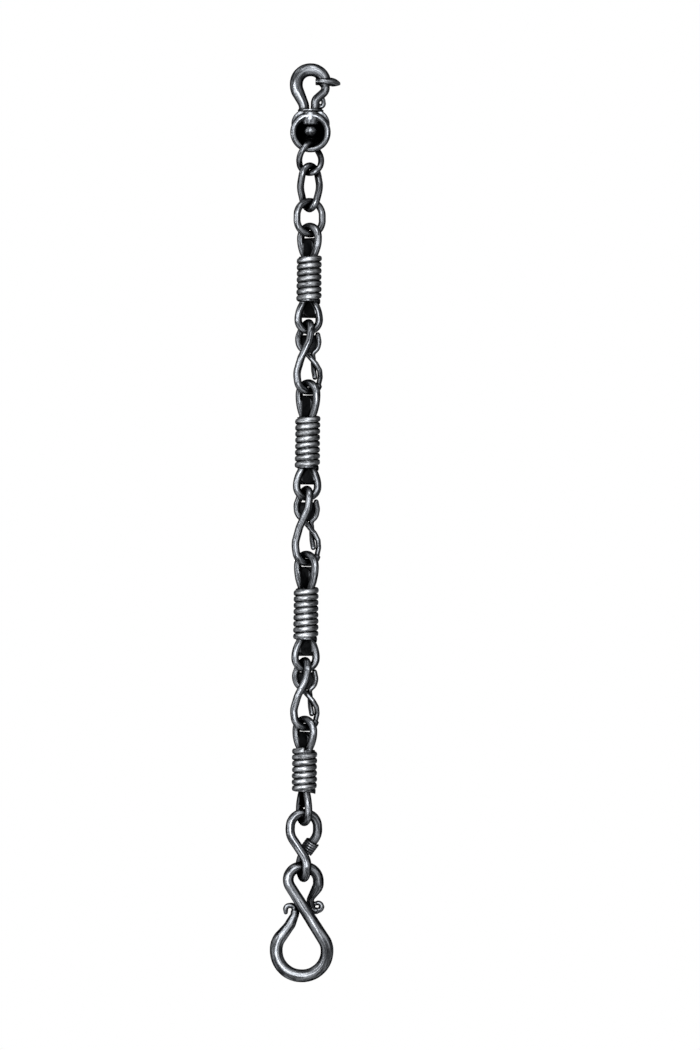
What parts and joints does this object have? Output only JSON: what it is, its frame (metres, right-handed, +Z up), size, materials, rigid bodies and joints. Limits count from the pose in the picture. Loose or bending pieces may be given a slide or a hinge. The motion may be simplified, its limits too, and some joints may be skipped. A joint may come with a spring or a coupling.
{
  "type": "rain chain",
  "caption": "Hanging rain chain of blackened wrought iron: a swivel hook and cup, curb links, coil-wrapped bars with eyes, twisted links and a large scrolled hook at the foot.",
  "frame": {"origin": "seat of the hanging hook: the lowest point of the inner crown of its loop", "axes": "+Z up along the hanging chain, -Y towards the viewer in front, +X to the right"},
  "size_m": [0.0842, 0.0466, 1.2132],
  "materials": {
    "steel": "blackened wrought iron, hammered, worn bright on the high spots",
    "wire": "blackened iron wire, drawn, lightly worn"
  },
  "bodies": {
    "top_hook_body": {"top_hook": "steel", "beak_collar": "steel"},
    "cup_body": {"swivel_cup": "steel"},
    "first_link_body": {"first_link": "steel"},
    "long_link_body": {"long_link": "steel"},
    "round_link_body": {"round_link": "steel"},
    "small_link_body": {"small_link": "steel", "binding_wire": "wire"},
    "end_hook_body": {"end_hook": "steel"},
    "eye_bar_1_body": {"eye_bar_1": "steel", "coil_1": "wire"},
    "eye_bar_2_body": {"eye_bar_2": "steel", "coil_2": "wire"},
    "eye_bar_3_body": {"eye_bar_3": "steel", "coil_3": "wire"},
    "eye_bar_4_body": {"eye_bar_4": "steel", "coil_4": "wire"},
    "twist_link_1_body": {"twist_link_1": "steel", "rope_wire_1": "wire"},
    "twist_link_2_body": {"twist_link_2": "steel", "rope_wire_2": "wire"},
    "twist_link_3_body": {"twist_link_3": "steel", "rope_wire_3": "wire"}
  },
  "joints": [
    {"name": "cup_swivel", "type": "hinge", "parent": "top_hook_body", "child": "cup_body", "pos_m": [0, 0, -0.0717], "axis": [0, 0, 1], "continuous": true},
    {"name": "first_link_swing", "type": "hinge", "parent": "cup_body", "child": "first_link_body", "pos_m": [0, 0, -0.09624], "axis": [1, 0, 0], "range_deg": [-25, 40]},
    {"name": "long_link_swing", "type": "hinge", "parent": "first_link_body", "child": "long_link_body", "pos_m": [0, 0, -0.12749], "axis": [0.788, -0.6157, 0], "range_deg": [-35, 35]},
    {"name": "round_link_swing", "type": "hinge", "parent": "long_link_body", "child": "round_link_body", "pos_m": [0, 0, -0.175], "axis": [0.4695, -0.8829, 0], "range_deg": [-45, 45]},
    {"name": "eye_bar_1_swing", "type": "hinge", "parent": "round_link_body", "child": "eye_bar_1_body", "pos_m": [0, 0, -0.20819], "axis": [0.891, 0.454, 0], "range_deg": [-45, 45]},
    {"name": "twist_link_1_swing", "type": "hinge", "parent": "eye_bar_1_body", "child": "twist_link_1_body", "pos_m": [0, 0, -0.33588], "axis": [0.9703, 0.2419, 0], "range_deg": [-45, 35]},
    {"name": "eye_bar_2_swing", "type": "hinge", "parent": "twist_link_1_body", "child": "eye_bar_2_body", "pos_m": [0, 0, -0.41538], "axis": [0.848, 0.5299, 0], "range_deg": [-45, 45]},
    {"name": "twist_link_2_swing", "type": "hinge", "parent": "eye_bar_2_body", "child": "twist_link_2_body", "pos_m": [0, 0, -0.55572], "axis": [0.9703, 0.2419, 0], "range_deg": [-45, 35]},
    {"name": "eye_bar_3_swing", "type": "hinge", "parent": "twist_link_2_body", "child": "eye_bar_3_body", "pos_m": [0, 0, -0.64162], "axis": [0.848, 0.5299, 0], "range_deg": [-45, 45]},
    {"name": "twist_link_3_swing", "type": "hinge", "parent": "eye_bar_3_body", "child": "twist_link_3_body", "pos_m": [0, 0, -0.78196], "axis": [0.9703, 0.2419, 0], "range_deg": [-45, 35]},
    {"name": "eye_bar_4_swing", "type": "hinge", "parent": "twist_link_3_body", "child": "eye_bar_4_body", "pos_m": [0, 0, -0.85936], "axis": [0.848, 0.5299, 0], "range_deg": [-45, 45]},
    {"name": "small_link_swing", "type": "hinge", "parent": "eye_bar_4_body", "child": "small_link_body", "pos_m": [0, 0, -0.98477], "axis": [0.4226, -0.9063, 0], "range_deg": [-45, 45]},
    {"name": "end_hook_swing", "type": "hinge", "parent": "small_link_body", "child": "end_hook_body", "pos_m": [0, 0, -1.05757], "axis": [-0.2588, 0.9659, 0], "range_deg": [-45, 45]}
  ]
}
